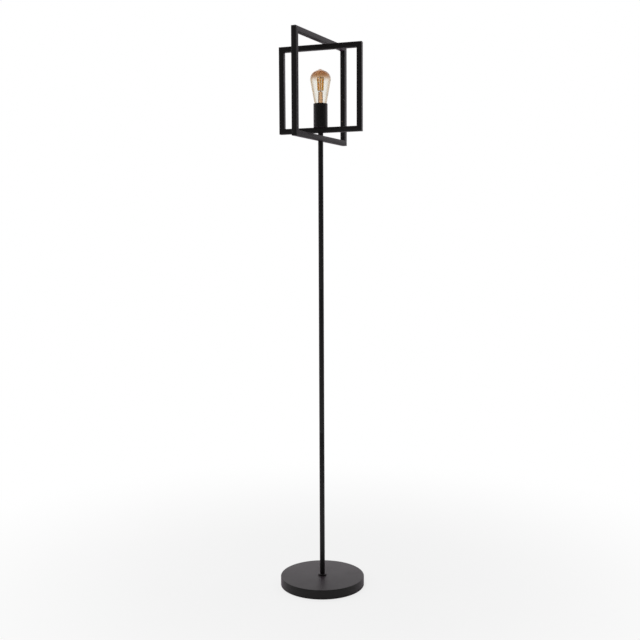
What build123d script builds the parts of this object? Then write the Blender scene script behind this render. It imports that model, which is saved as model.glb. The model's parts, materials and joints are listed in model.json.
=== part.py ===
"""Cage floor lamp: a weighted round base, a pole in three screwed sections, two nested square-tube frames
that turn about the pole, and an upright E27 lampholder with a clear amber filament bulb.

Millimetres, +Z up. The origin is the centre of the base on the floor, and the pole's axis is Z.
"""
from build123d import *
from math import cos, radians, sin
import os

os.makedirs("parts", exist_ok=True)

# ---------------------------------------------------------------- driving dimensions
# Base
base_diameter = 250.0
base_height = 28.0  # floor to the top of the cover
cover_wall = 1.2
cover_edge_radius = 2.0
cover_floor_gap = 1.0  # the cover's lower edge stays off the floor
pad_rim_gap = 5.8  # foam pad to the cover's wall
pad_thickness = 2.0
plate_thickness = 1.5
plate_rim_gap = 1.8  # bottom plate to the cover's wall
weight_thickness = 12.0
weight_rim_gap = 4.3  # weight to the cover's wall, for the cord gland's inner ring
weight_web = 4.0  # iron left above the nut's recess
recess_radius = 17.0
weight_chamfer = 1.5
boss_radius = 7.0
boss_rim_gap = 29.5  # boss centre to the weight's edge
boss_count = 3
boss_start_angle = -90.0  # keeps the bosses clear of the cord, which lies along +Y
plate_screw_radius = 2.0  # M4
plate_screw_grip = 8.0  # thread in the boss
plate_screw_tip_gap = 1.0
screw_head_radius = 3.75
screw_head_height = 1.6
cross_slot_width = 0.8
cross_slot_span = 4.1
pad_hole_radius = 6.0
collar_diameter = 25.0
collar_height = 4.0
collar_bevel = 0.6

# Pole
pole_diameter = 15.0
pole_wall = 1.0
section_length = 429.0
section_names = ("pole_lower", "pole_middle", "pole_upper")
seam_chamfer = 0.35
bush_length = 14.0
bush_set_back = 0.3  # a bush lies this far inside its section's end

# Screwed tube (M10 x 1) that clamps base, pole, cage and lampholder together, and its fasteners
thread_radius = 5.0
nipple_bore_radius = 3.5
nipple_grip = 11.0  # length screwed into a bush
nipple_nut_reach = 1.0  # thread showing past the foot nut
nut_across_flats = 14.0
nut_height = 4.0
lock_washer_radius = 8.5
lock_washer_thickness = 1.0
lock_washer_notches = 10
lock_washer_notch = 1.6
thread_chamfer = 0.5
penny_washer_radius = 15.0
penny_washer_thickness = 2.0

# Cage
tube_side = 15.0
tube_wall = 1.2
tube_corner_radius = 1.0
inner_frame_width = 250.0
inner_frame_height = 250.0
outer_frame_width = 310.0
frame_gap = 8.0  # between the two frames, at the bottom and at the top
inner_frame_angle = -18.3  # direction of each frame's rails about the pole, in degrees from +X
outer_frame_angle = 61.7

# Lampholder
cup_diameter = 41.0
cup_height = 68.0
cup_wall = 1.0
cup_floor = 1.5
cup_foot_radius = 1.2
cup_rim_bevel = 0.7
tag_thickness = 0.8
tag_lug_length = 13.5
tag_lug_width = 5.0
tag_crimp_inset = 1.5  # lug's end to the earth core
tag_angle = 225.0
bracket_thickness = 1.5
bracket_width = 12.0
bracket_centre_length = 20.0
bracket_rise = 6.0
bracket_end_length = 6.0
bracket_nipple_reach = 1.5  # thread showing past the bracket
bracket_screw_radius = 1.5  # M3
bracket_screw_grip = 6.0
bracket_screw_head = 1.8
bracket_screw_tip_gap = 0.5
body_radius = 18.7
body_height = 42.0
body_floor = 10.0
body_chamfer = 0.8
pocket_width = 9.0
pocket_depth = 7.2
pocket_height = 7.2
terminal_screw_radius = 1.5
terminal_screw_length = 3.4  # strip to head
terminal_head_radius = 2.6
terminal_head_height = 1.5
contact_strip = 0.8  # thickness of the brass strips
contact_strip_width = 6.0
tongue_height = 2.2  # from the socket's floor to the bulb's contact
strip_tail_gap = 0.8  # strip's lower end to the body's underside
tongue_overhang = 2.0
shell_wall = 0.35
shell_height = 26.0
shell_lead = 1.0  # plain wall below the first ridge
shell_socket_gap = 0.1
live_strip_gap = 1.0  # each side, between the live strip and the shell's floor ring

# Bulb: ST shape with an E27 cap
bulb_length = 139.5
glass_wall = 0.8
bulb_tip_flat = 1.5
bulb_tip_round = 4.0
bulb_shoulder = (33.1, 124.6)  # radius and height above the bulb's contact where dome and flank would meet
bulb_shoulder_round = 25.0
bulb_neck_top = (18.6, 47.0)  # where the flank turns in to the neck
bulb_neck_round = 18.0
bulb_neck_radius = 12.5
bulb_neck_height = 29.0
bulb_neck_foot_round = 4.5
cap_height = 27.0
cap_skirt_height = 6.5
cap_shoulder_height = 0.6  # from the thread's root out to the skirt
cap_wall = 0.4
cap_thread_bottom = 6.0
cap_thread_lead = 0.3  # plain wall below the first ridge
cap_crest_share = 0.3  # of the pitch
thread_pitch = 3.63
thread_crest = 13.1
thread_root = 12.3
insulator_bottom_radius = 6.0
insulator_plug_height = 2.0
cap_contact_radius = 4.5
cap_contact_height = 1.6
stem_tube_radius = 7.0
stem_tube_height = 75.5  # above the bulb's contact
stem_wall = 0.9
stem_taper = 0.5  # narrower at the top by this much, in radius
stem_flare_height = 8.0
stem_flare_land = 0.5  # ring left at the mouth of the bore
stem_pinch_height = 8.0
stem_pinch_solid = 6.0  # glass above the bore
stem_bend_round = 6.0
stem_small_round = 3.0
stem_rim_round = 0.4
stem_rod_radius = 1.8
stem_rod_top = 118.0
filament_count = 8
filament_turn = 11.25  # the first stick's direction in degrees, so that none hides another from the front
filament_radius = 1.3
filament_length = 38.0
filament_bottom = 77.5
filament_ring_bottom = 7.6
filament_ring_top = 9.4
support_wire_radius = 0.4

# Cord held inside the lamp
flex_radius = 2.75
core_radius = 1.1
core_circle = 1.35
gland_height = 9.5
gland_hole_radius = 4.5
gland_flange_radius = 6.5
gland_flange_thickness = 2.4
gland_spout_length = 5.5
gland_spout_radius = 4.2
gland_spout_bevel = 0.9
snap_ring_lip = 1.1  # snap ring over the hole's edge
snap_ring_length = 1.6
flex_bend = 80.0
flex_inlet_run = 20.0  # level run inside the wall
flex_slope_run = 35.0  # where the flex comes down to the bottom plate
flex_nipple_inset = 1.3  # flex's end below the top of the screwed tube
core_bend = 2.3
core_rise = 0.7  # cores over the top of the screwed tube

# Clearances
running_gap = 0.06  # radial, frames on the screwed tube
thread_gap = 0.05  # radial, screwed fits and holes that a screwed tube passes
press_gap = 0.02  # radial, bushes in the pole
screw_hole_gap = 0.25  # radial, sheet over a screw
bulb_thread_gap = 0.35  # radial, the bulb's thread in the lampholder's shell
contact_gap = 0.05  # bulb contact to tongue
glass_gap = 0.1  # neck in the cap, and other glued joints of the bulb
flex_gap = 0.1  # radial, cord in its gland
flex_rest_gap = 0.25  # cord over the bottom plate
sheet_gap = 0.05  # gland flange over the cover
snap_gap = 0.3  # snap ring to the cover's wall
neck_seat_gap = 0.3  # neck's rim over the cap's shoulder
stem_seat_gap = 0.5  # stem's rim over the cap's shoulder
touch_gap = 0.05  # cord to its gland, core to the screw or tag that holds it, wire to its stick

# ---------------------------------------------------------------- heights that follow
plate_top = pad_thickness + plate_thickness
cover_inner_top = base_height - cover_wall
weight_bottom = cover_inner_top - weight_thickness
recess_top = cover_inner_top - weight_web
foot_nut_bottom = recess_top - penny_washer_thickness - lock_washer_thickness - nut_height
foot_nipple_bottom = foot_nut_bottom - nipple_nut_reach
pole_bottom = base_height + collar_height
pole_top = pole_bottom + section_length * len(section_names)
inner_frame_bottom = pole_top + tube_side + frame_gap
outer_frame_height = inner_frame_height + 2 * (frame_gap + tube_side)
cup_bottom = inner_frame_bottom + tube_side
cup_washer_bottom = cup_bottom + cup_floor
tag_bottom = cup_washer_bottom + lock_washer_thickness
cup_nut_bottom = tag_bottom + tag_thickness
bracket_bottom = cup_nut_bottom + nut_height
cage_nipple_top = bracket_bottom + bracket_thickness + bracket_nipple_reach
body_bottom = bracket_bottom + bracket_rise + bracket_thickness
socket_floor = body_bottom + body_floor
tongue_top = socket_floor + tongue_height
bulb_bottom = tongue_top + contact_gap

cover_inner_radius = base_diameter / 2 - cover_wall
weight_radius = cover_inner_radius - weight_rim_gap
plate_radius = cover_inner_radius - plate_rim_gap
pad_radius = cover_inner_radius - pad_rim_gap
boss_circle = weight_radius - boss_rim_gap
pole_radius = pole_diameter / 2
threaded_hole = thread_radius + thread_gap
cup_radius = cup_diameter / 2


def save(piece, label):
    """Names a finished piece and writes it."""
    piece.part.label = label
    export_step(piece.part, f"parts/{label}.step")


def tube(outer, inner, bottom, height):
    """Adds a plain upright tube on the axis."""
    with BuildSketch(Plane.XY.offset(bottom)) as section:
        Circle(outer)
        Circle(inner, mode=Mode.SUBTRACT)
    extrude(section.sketch, amount=height)


# ---------------------------------------------------------------- base
# Pressed steel cover: a flat pan with a rolled edge, open below
with BuildPart() as base_cover:
    with BuildSketch(Plane.XY.offset(cover_floor_gap)):
        Circle(base_diameter / 2)
    extrude(amount=base_height - cover_floor_gap)
    fillet(base_cover.edges().group_by(Axis.Z)[-1], cover_edge_radius)
    with BuildSketch(Plane.XY.offset(cover_floor_gap)):
        Circle(cover_inner_radius)
    extrude(amount=cover_inner_top - cover_floor_gap, mode=Mode.SUBTRACT)
    with BuildSketch(Plane.XY.offset(cover_inner_top)):
        Circle(threaded_hole)
    extrude(amount=cover_wall, mode=Mode.SUBTRACT)
    with BuildSketch(Plane.XZ.offset(-base_diameter / 2)):
        with Locations((0, gland_height)):
            Circle(gland_hole_radius + thread_gap)
    extrude(amount=2 * cover_wall, mode=Mode.SUBTRACT)
save(base_cover, "base_cover")

# Cast-iron weight under the cover, with a recess for the foot nut and bosses for the bottom plate
with BuildPart() as base_weight:
    with BuildSketch(Plane.XY.offset(weight_bottom)):
        Circle(weight_radius)
    extrude(amount=weight_thickness)
    chamfer(base_weight.edges().filter_by(GeomType.CIRCLE), weight_chamfer)
    with BuildSketch(Plane.XY.offset(plate_top)):
        with PolarLocations(boss_circle, boss_count, start_angle=boss_start_angle):
            Circle(boss_radius)
    extrude(amount=weight_bottom - plate_top)
    with BuildSketch(Plane.XY.offset(plate_top)):
        with PolarLocations(boss_circle, boss_count, start_angle=boss_start_angle):
            Circle(plate_screw_radius + thread_gap)
    extrude(amount=plate_screw_grip + plate_screw_tip_gap, mode=Mode.SUBTRACT)
    with BuildSketch(Plane.XY.offset(weight_bottom)):
        Circle(recess_radius)
    extrude(amount=weight_thickness - weight_web, mode=Mode.SUBTRACT)
    with BuildSketch(Plane.XY.offset(recess_top)):
        Circle(threaded_hole)
    extrude(amount=weight_web, mode=Mode.SUBTRACT)
save(base_weight, "base_weight")

# Steel plate that closes the base from below
with BuildPart() as bottom_plate:
    with BuildSketch(Plane.XY.offset(pad_thickness)):
        Circle(plate_radius)
        with PolarLocations(boss_circle, boss_count, start_angle=boss_start_angle):
            Circle(plate_screw_radius + screw_hole_gap, mode=Mode.SUBTRACT)
    extrude(amount=plate_thickness)
save(bottom_plate, "bottom_plate")

# Pan-head screws with a cross recess, plate to weight
with BuildPart() as plate_screws:
    with BuildSketch(Plane.XY.offset(pad_thickness - screw_head_height)):
        with PolarLocations(boss_circle, boss_count, start_angle=boss_start_angle):
            Circle(screw_head_radius)
    extrude(amount=screw_head_height)
    fillet(plate_screws.edges().group_by(Axis.Z)[0], screw_head_height / 3)
    with BuildSketch(Plane.XY.offset(pad_thickness)):
        with PolarLocations(boss_circle, boss_count, start_angle=boss_start_angle):
            Circle(plate_screw_radius)
    extrude(amount=plate_thickness + plate_screw_grip)
    with BuildSketch(Plane.XY.offset(pad_thickness - screw_head_height)):
        with PolarLocations(boss_circle, boss_count, start_angle=boss_start_angle):
            Rectangle(cross_slot_span, cross_slot_width)
            Rectangle(cross_slot_width, cross_slot_span)
    extrude(amount=screw_head_height / 2, mode=Mode.SUBTRACT)
save(plate_screws, "plate_screws")

# Foam pad that the lamp stands on
with BuildPart() as base_pad:
    with BuildSketch():
        Circle(pad_radius)
        with PolarLocations(boss_circle, boss_count, start_angle=boss_start_angle):
            Circle(pad_hole_radius, mode=Mode.SUBTRACT)
    extrude(amount=pad_thickness)
save(base_pad, "base_pad")

# Snap-in nylon gland at the back of the base: spout and flange outside, snap ring inside
flange_face = base_diameter / 2 + sheet_gap
flange_end = flange_face + gland_flange_thickness
snap_ring_radius = gland_hole_radius + snap_ring_lip
snap_ring_start = cover_inner_radius - snap_gap
gland_inner_end = snap_ring_start - snap_ring_length
gland_length = flange_end + gland_spout_length - gland_inner_end
with BuildPart() as cord_gland:
    for start, end, radius in (
        (gland_inner_end, snap_ring_start, snap_ring_radius),
        (snap_ring_start, flange_face, gland_hole_radius),
        (flange_face, flange_end, gland_flange_radius),
        (flange_end, flange_end + gland_spout_length, gland_spout_radius),
    ):
        with BuildSketch(Plane.XZ.offset(-end)):
            with Locations((0, gland_height)):
                Circle(radius)
        extrude(amount=end - start)
    chamfer(cord_gland.edges().group_by(Axis.Y)[-1], gland_spout_bevel)
    with BuildSketch(Plane.XZ.offset(-flange_end - gland_spout_length)):
        with Locations((0, gland_height)):
            Circle(flex_radius + flex_gap)
    extrude(amount=gland_length, mode=Mode.SUBTRACT)
save(cord_gland, "cord_gland")

# Flat collar between base and pole
with BuildPart() as foot_collar:
    tube(collar_diameter / 2, threaded_hole, base_height, collar_height)
    chamfer(foot_collar.edges().group_by(Axis.Z)[-1].sort_by(SortBy.RADIUS)[-1], collar_bevel)
save(foot_collar, "foot_collar")

# ---------------------------------------------------------------- screwed tubes and their fasteners
joints_between = [pole_bottom + section_length * i for i in range(1, len(section_names))]
with BuildPart() as foot_nipple:
    foot_nipple_length = pole_bottom + nipple_grip - foot_nipple_bottom
    tube(thread_radius, nipple_bore_radius, foot_nipple_bottom, foot_nipple_length)
    chamfer(foot_nipple.edges().filter_by(GeomType.CIRCLE).group_by(SortBy.RADIUS)[-1], thread_chamfer)
save(foot_nipple, "foot_nipple")

with BuildPart() as joint_nipples:
    for joint in joints_between:
        tube(thread_radius, nipple_bore_radius, joint - nipple_grip, 2 * nipple_grip)
    chamfer(joint_nipples.edges().filter_by(GeomType.CIRCLE).group_by(SortBy.RADIUS)[-1], thread_chamfer)
save(joint_nipples, "joint_nipples")

with BuildPart() as cage_nipple:
    cage_nipple_length = cage_nipple_top - pole_top + nipple_grip
    tube(thread_radius, nipple_bore_radius, pole_top - nipple_grip, cage_nipple_length)
    chamfer(cage_nipple.edges().filter_by(GeomType.CIRCLE).group_by(SortBy.RADIUS)[-1], thread_chamfer)
save(cage_nipple, "cage_nipple")

with BuildPart() as lock_nuts:
    for bottom in (foot_nut_bottom, cup_nut_bottom):
        with BuildSketch(Plane.XY.offset(bottom)):
            RegularPolygon(nut_across_flats / 2, 6, major_radius=False)
            Circle(threaded_hole, mode=Mode.SUBTRACT)
        extrude(amount=nut_height)
save(lock_nuts, "lock_nuts")

with BuildPart() as lock_washers:
    for bottom in (foot_nut_bottom + nut_height, cup_washer_bottom):
        with BuildSketch(Plane.XY.offset(bottom)):
            Circle(lock_washer_radius)
            Circle(threaded_hole, mode=Mode.SUBTRACT)
            with PolarLocations(lock_washer_radius, lock_washer_notches):
                Rectangle(lock_washer_notch, lock_washer_notch, mode=Mode.SUBTRACT)
        extrude(amount=lock_washer_thickness)
save(lock_washers, "lock_washers")

with BuildPart() as penny_washer:
    tube(penny_washer_radius, threaded_hole, recess_top - penny_washer_thickness, penny_washer_thickness)
save(penny_washer, "penny_washer")

# ---------------------------------------------------------------- pole
for index, section_name in enumerate(section_names):
    with BuildPart() as pole_section:
        tube(pole_radius, pole_radius - pole_wall, pole_bottom + index * section_length, section_length)
        chamfer(pole_section.edges().filter_by(GeomType.CIRCLE).group_by(SortBy.RADIUS)[-1], seam_chamfer)
    save(pole_section, section_name)

# Tapped bushes pressed into both ends of every section
with BuildPart() as pole_bushes:
    for index in range(len(section_names)):
        section_bottom = pole_bottom + index * section_length
        section_top = section_bottom + section_length
        for bottom in (section_bottom + bush_set_back, section_top - bush_set_back - bush_length):
            tube(pole_radius - pole_wall - press_gap, threaded_hole, bottom, bush_length)
save(pole_bushes, "pole_bushes")


# ---------------------------------------------------------------- cage
def corners(width, height, inset):
    """Corners of a rectangle inset from the frame's outline, anticlockwise from the lower left."""
    x, y = width / 2 - inset, height / 2 - inset
    return [(-x, -y), (x, -y), (x, y), (-x, y)]


def frame_plane(angle, middle):
    """Upright plane through the pole's axis: local X along the rails, local Y up."""
    turn = radians(angle)
    return Plane(origin=(0, 0, middle), x_dir=(cos(turn), sin(turn), 0), z_dir=(sin(turn), -cos(turn), 0))


def mitred_tubes(name, width, height, bottom, angle):
    """The four square tubes of a welded frame, each cut at 45 degrees at both ends."""
    plane = frame_plane(angle, bottom + height / 2)
    outline = corners(width, height, 0)
    inside = corners(width, height, tube_side)
    bore_outside = corners(width, height, tube_wall)
    bore_inside = corners(width, height, tube_side - tube_wall)
    for side, member in enumerate(("bottom_rail", "right_post", "top_rail", "left_post")):
        after = (side + 1) % 4
        direction = plane.x_dir if side % 2 == 0 else Vector(0, 0, 1)
        with BuildPart() as mitred_tube:
            with BuildSketch(plane):
                Polygon(outline[side], outline[after], inside[after], inside[side], align=None)
            extrude(amount=tube_side / 2, both=True)
            long_edges = mitred_tube.edges().filter_by(
                lambda edge: abs(edge.tangent_at(0.5).dot(direction)) > 0.999
            )
            fillet(long_edges, tube_corner_radius)
            with BuildSketch(plane):
                Polygon(
                    bore_outside[side], bore_outside[after], bore_inside[after], bore_inside[side], align=None
                )
            extrude(amount=tube_side / 2 - tube_wall, both=True, mode=Mode.SUBTRACT)
            if member == "bottom_rail":
                with BuildSketch(Plane.XY.offset(bottom)):
                    Circle(thread_radius + running_gap)
                extrude(amount=tube_side, mode=Mode.SUBTRACT)
        save(mitred_tube, f"{name}_{member}")


mitred_tubes("outer_frame", outer_frame_width, outer_frame_height, pole_top, outer_frame_angle)
mitred_tubes("inner_frame", inner_frame_width, inner_frame_height, inner_frame_bottom, inner_frame_angle)

# Short tube that keeps the two bottom rails apart
with BuildPart() as frame_spacer:
    tube(pole_radius, threaded_hole, pole_top + tube_side, frame_gap)
    chamfer(frame_spacer.edges().filter_by(GeomType.CIRCLE).group_by(SortBy.RADIUS)[-1], seam_chamfer)
save(frame_spacer, "frame_spacer")

# ---------------------------------------------------------------- lampholder
# Spun steel cup round the lampholder, with a bevelled rim
with BuildPart() as holder_cup:
    with BuildSketch(Plane.XY.offset(cup_bottom)):
        Circle(cup_radius)
    extrude(amount=cup_height)
    fillet(holder_cup.edges().group_by(Axis.Z)[0], cup_foot_radius)
    with BuildSketch(Plane.XY.offset(cup_bottom + cup_floor)):
        Circle(cup_radius - cup_wall)
    extrude(amount=cup_height - cup_floor, mode=Mode.SUBTRACT)
    chamfer(holder_cup.edges().group_by(Axis.Z)[-1].sort_by(SortBy.RADIUS)[-1], cup_rim_bevel)
    with BuildSketch(Plane.XY.offset(cup_bottom)):
        Circle(threaded_hole)
    extrude(amount=cup_floor, mode=Mode.SUBTRACT)
save(holder_cup, "holder_cup")

# Ring tag for the earth core, with its lug turned towards the back left
lug_plane = Plane(
    origin=(0, 0, tag_bottom), x_dir=(cos(radians(tag_angle)), sin(radians(tag_angle)), 0), z_dir=(0, 0, 1)
)
with BuildPart() as earth_tag:
    with BuildSketch(lug_plane):
        Circle(lock_washer_radius)
        with Locations((tag_lug_length / 2, 0)):
            Rectangle(tag_lug_length, tag_lug_width)
        Circle(threaded_hole, mode=Mode.SUBTRACT)
    extrude(amount=tag_thickness)
save(earth_tag, "earth_tag")

# Hat-shaped bracket: its middle is tapped for the screwed tube, its ends carry the lampholder's body
centre_half = bracket_centre_length / 2
bracket_half = centre_half + bracket_end_length
bracket_end_bottom = bracket_bottom + bracket_rise
bracket_screw_x = bracket_half - bracket_end_length / 2 + bracket_thickness / 2
with BuildPart() as holder_bracket:
    with BuildSketch(Plane.XZ):
        Polygon(
            (-bracket_half, bracket_end_bottom),
            (-centre_half, bracket_end_bottom),
            (-centre_half, bracket_bottom),
            (centre_half, bracket_bottom),
            (centre_half, bracket_end_bottom),
            (bracket_half, bracket_end_bottom),
            (bracket_half, bracket_end_bottom + bracket_thickness),
            (centre_half - bracket_thickness, bracket_end_bottom + bracket_thickness),
            (centre_half - bracket_thickness, bracket_bottom + bracket_thickness),
            (bracket_thickness - centre_half, bracket_bottom + bracket_thickness),
            (bracket_thickness - centre_half, bracket_end_bottom + bracket_thickness),
            (-bracket_half, bracket_end_bottom + bracket_thickness),
            align=None,
        )
    extrude(amount=bracket_width / 2, both=True)
    with BuildSketch(Plane.XY.offset(bracket_bottom)):
        Circle(threaded_hole)
    extrude(amount=bracket_thickness, mode=Mode.SUBTRACT)
    with BuildSketch(Plane.XY.offset(bracket_end_bottom)):
        with Locations((-bracket_screw_x, 0), (bracket_screw_x, 0)):
            Circle(bracket_screw_radius + thread_gap)
    extrude(amount=bracket_thickness, mode=Mode.SUBTRACT)
save(holder_bracket, "holder_bracket")

with BuildPart() as bracket_screws:
    with BuildSketch(Plane.XY.offset(bracket_end_bottom - bracket_screw_head)):
        with Locations((-bracket_screw_x, 0), (bracket_screw_x, 0)):
            Circle(terminal_head_radius)
    extrude(amount=bracket_screw_head)
    with BuildSketch(Plane.XY.offset(bracket_end_bottom)):
        with Locations((-bracket_screw_x, 0), (bracket_screw_x, 0)):
            Circle(bracket_screw_radius)
    extrude(amount=bracket_thickness + bracket_screw_grip)
save(bracket_screws, "bracket_screws")

# Porcelain body: socket bore above, a pocket for a terminal on each side below
shell_inner_radius = thread_crest + bulb_thread_gap
shell_groove = thread_crest - thread_root
socket_radius = shell_inner_radius + shell_groove + shell_wall + shell_socket_gap
pocket_wall = body_radius - pocket_depth  # distance of a pocket's inner wall from the axis
slot_depth = contact_strip + 2 * thread_gap
with BuildPart() as lampholder_body:
    with BuildSketch(Plane.XY.offset(body_bottom)):
        Circle(body_radius)
    extrude(amount=body_height)
    chamfer(lampholder_body.edges().filter_by(GeomType.CIRCLE), body_chamfer)
    with BuildSketch(Plane.XY.offset(socket_floor)):
        Circle(socket_radius)
    extrude(amount=body_height - body_floor, mode=Mode.SUBTRACT)
    for way in (-1, 1):
        with BuildSketch(Plane.XY.offset(body_bottom)):
            with Locations((0, way * (pocket_wall + pocket_depth / 2))):
                Rectangle(pocket_width, pocket_depth)
        extrude(amount=pocket_height, mode=Mode.SUBTRACT)
        with BuildSketch(Plane.XY.offset(body_bottom)):
            with Locations((0, way * (pocket_wall + slot_depth / 2))):
                Rectangle(contact_strip_width + 2 * thread_gap, slot_depth)
        extrude(amount=body_floor, mode=Mode.SUBTRACT)
    with BuildSketch(Plane.XY.offset(body_bottom)):
        with Locations((-bracket_screw_x, 0), (bracket_screw_x, 0)):
            Circle(bracket_screw_radius + thread_gap)
    extrude(amount=bracket_screw_grip + bracket_screw_tip_gap, mode=Mode.SUBTRACT)
save(lampholder_body, "lampholder_body")

# Brass strips stand in the pockets against the inner wall, at this distance from the axis
strip_start = pocket_wall + thread_gap
terminal_height = body_bottom + pocket_height / 2
strip_bottom = body_bottom + strip_tail_gap


def terminal_strip(way, top):
    """Adds the upright strip of one terminal, from its pocket up through the slot."""
    with BuildSketch(Plane.XY.offset(strip_bottom)) as strip:
        with Locations((0, way * (strip_start + contact_strip / 2))):
            Rectangle(contact_strip_width, contact_strip)
    extrude(strip.sketch, amount=top - strip_bottom)
    with BuildSketch(Plane.XZ.offset(-way * (strip_start + contact_strip))) as screw_hole:
        with Locations((0, terminal_height)):
            Circle(terminal_screw_radius + thread_gap)
    extrude(screw_hole.sketch, amount=way * contact_strip, mode=Mode.SUBTRACT)


# Threaded shell: ridged wall, a floor ring, and the neutral strip at the front
ridge_count = int(shell_height / thread_pitch)
live_notch_width = contact_strip_width + 2 * live_strip_gap
with BuildPart() as screw_shell:
    with BuildSketch(Plane.XZ):
        with BuildLine():
            wall_points = [(shell_inner_radius, socket_floor)]
            for ridge in range(ridge_count):
                ridge_bottom = socket_floor + shell_lead + ridge * thread_pitch
                wall_points += [
                    (shell_inner_radius, ridge_bottom),
                    (shell_inner_radius + shell_groove, ridge_bottom + thread_pitch / 2),
                ]
            wall_points.append((shell_inner_radius, socket_floor + shell_lead + ridge_count * thread_pitch))
            outer_points = [(r + shell_wall, z) for r, z in reversed(wall_points)]
            Polyline(*wall_points, *outer_points, close=True)
        make_face()
    revolve(axis=Axis.Z)
    tube(shell_inner_radius + shell_wall, pocket_wall - contact_strip, socket_floor, contact_strip)
    with BuildSketch(Plane.XY.offset(socket_floor)):
        with Locations((0, pocket_wall)):
            Rectangle(live_notch_width, 2 * (shell_inner_radius - pocket_wall - thread_gap))
    extrude(amount=contact_strip, mode=Mode.SUBTRACT)
    terminal_strip(-1, socket_floor)
    with BuildSketch(Plane.XY.offset(socket_floor)):
        with Locations((0, -(strip_start + contact_strip / 2))):
            Rectangle(contact_strip_width, contact_strip)
    extrude(amount=contact_strip)
save(screw_shell, "screw_shell")

# Live strip at the back, bent over the socket's floor into a sprung tongue under the bulb's contact
tongue_half = contact_strip_width / 2
with BuildPart() as centre_contact:
    terminal_strip(1, socket_floor)
    with BuildSketch(Plane.YZ):
        with BuildLine():
            Polyline(
                (strip_start + contact_strip, socket_floor),
                (strip_start + contact_strip, socket_floor + contact_strip),
                (tongue_half + tongue_overhang, tongue_top),
                (-tongue_half, tongue_top),
                (-tongue_half, tongue_top - contact_strip),
                (tongue_half + tongue_overhang, tongue_top - contact_strip),
                (strip_start, socket_floor),
                close=True,
            )
        make_face()
    extrude(amount=contact_strip_width / 2, both=True)
save(centre_contact, "centre_contact")

# Terminal screws, radial, one in each pocket
head_start = strip_start + contact_strip + terminal_screw_length
with BuildPart() as terminal_screws:
    for way in (-1, 1):
        with BuildSketch(Plane.XZ.offset(-way * strip_start)):
            with Locations((0, terminal_height)):
                Circle(terminal_screw_radius)
        extrude(amount=-way * (head_start - strip_start))
        with BuildSketch(Plane.XZ.offset(-way * head_start)):
            with Locations((0, terminal_height)):
                Circle(terminal_head_radius)
        extrude(amount=-way * terminal_head_height)
save(terminal_screws, "terminal_screws")

# ---------------------------------------------------------------- cord held inside the lamp
flex_floor_height = plate_top + flex_rest_gap + flex_radius
flex_end_height = cage_nipple_top - flex_nipple_inset
flex_foot_bend = foot_nipple_bottom - flex_floor_height
flex_route = [
    (0, gland_inner_end - touch_gap, gland_height),
    (0, cover_inner_radius - flex_inlet_run, gland_height),
    (0, cover_inner_radius - flex_inlet_run - flex_slope_run, flex_floor_height),
    (0, 0, flex_floor_height),
    (0, 0, flex_end_height),
]
with BuildPart() as flex:
    with BuildLine():
        flex_path = FilletPolyline(*flex_route, radius=[flex_bend, flex_bend, flex_foot_bend])
    with BuildSketch(Plane(origin=flex_path @ 0, z_dir=flex_path % 0)):
        Circle(flex_radius)
    sweep(path=flex_path)
save(flex, "internal_flex")
print("flex bend radii", flex_bend, flex_bend, round(flex_foot_bend, 2))

# Three cores leave the flex at the top of the screwed tube
core_level = cage_nipple_top + core_radius + core_rise
terminal_core_y = (strip_start + contact_strip + head_start) / 2
terminal_core_x = terminal_screw_radius + core_radius + touch_gap
tag_reach = tag_lug_length - tag_crimp_inset
tag_end = tag_bottom + tag_thickness + touch_gap
tag_x, tag_y = tag_reach * cos(radians(tag_angle)), tag_reach * sin(radians(tag_angle))
core_ends = {  # name: (direction in the flex, x, y and height of its end)
    "live_core": (90, terminal_core_x, terminal_core_y, terminal_height),
    "neutral_core": (330, terminal_core_x, -terminal_core_y, terminal_height),
    "earth_core": (210, tag_x, tag_y, tag_end),
}
for core_name, (angle, end_x, end_y, end_height) in core_ends.items():
    start_x, start_y = core_circle * cos(radians(angle)), core_circle * sin(radians(angle))
    with BuildPart() as core:
        with BuildLine():
            core_path = FilletPolyline(
                (start_x, start_y, flex_end_height),
                (start_x, start_y, core_level),
                (end_x, end_y, core_level),
                (end_x, end_y, end_height),
                radius=core_bend,
            )
        with BuildSketch(Plane(origin=core_path @ 0, z_dir=core_path % 0)):
            Circle(core_radius)
        sweep(path=core_path)
    save(core, core_name)

# ---------------------------------------------------------------- bulb
# Envelope: pointed dome, straight flank and drawn-in neck, blown from one wall thickness
with BuildPart() as bulb_glass:
    with BuildSketch(Plane.XZ):
        with BuildLine():
            FilletPolyline(
                (0, bulb_bottom + bulb_length),
                (bulb_tip_flat, bulb_bottom + bulb_length),
                (bulb_shoulder[0], bulb_bottom + bulb_shoulder[1]),
                (bulb_neck_top[0], bulb_bottom + bulb_neck_top[1]),
                (bulb_neck_radius, bulb_bottom + bulb_neck_height),
                (bulb_neck_radius, bulb_bottom + cap_height - cap_skirt_height + neck_seat_gap),
                radius=[bulb_tip_round, bulb_shoulder_round, bulb_neck_round, bulb_neck_foot_round],
            )
            offset(amount=glass_wall, side=Side.RIGHT)
        make_face()
    revolve(axis=Axis.Z)
save(bulb_glass, "bulb_glass")

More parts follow.
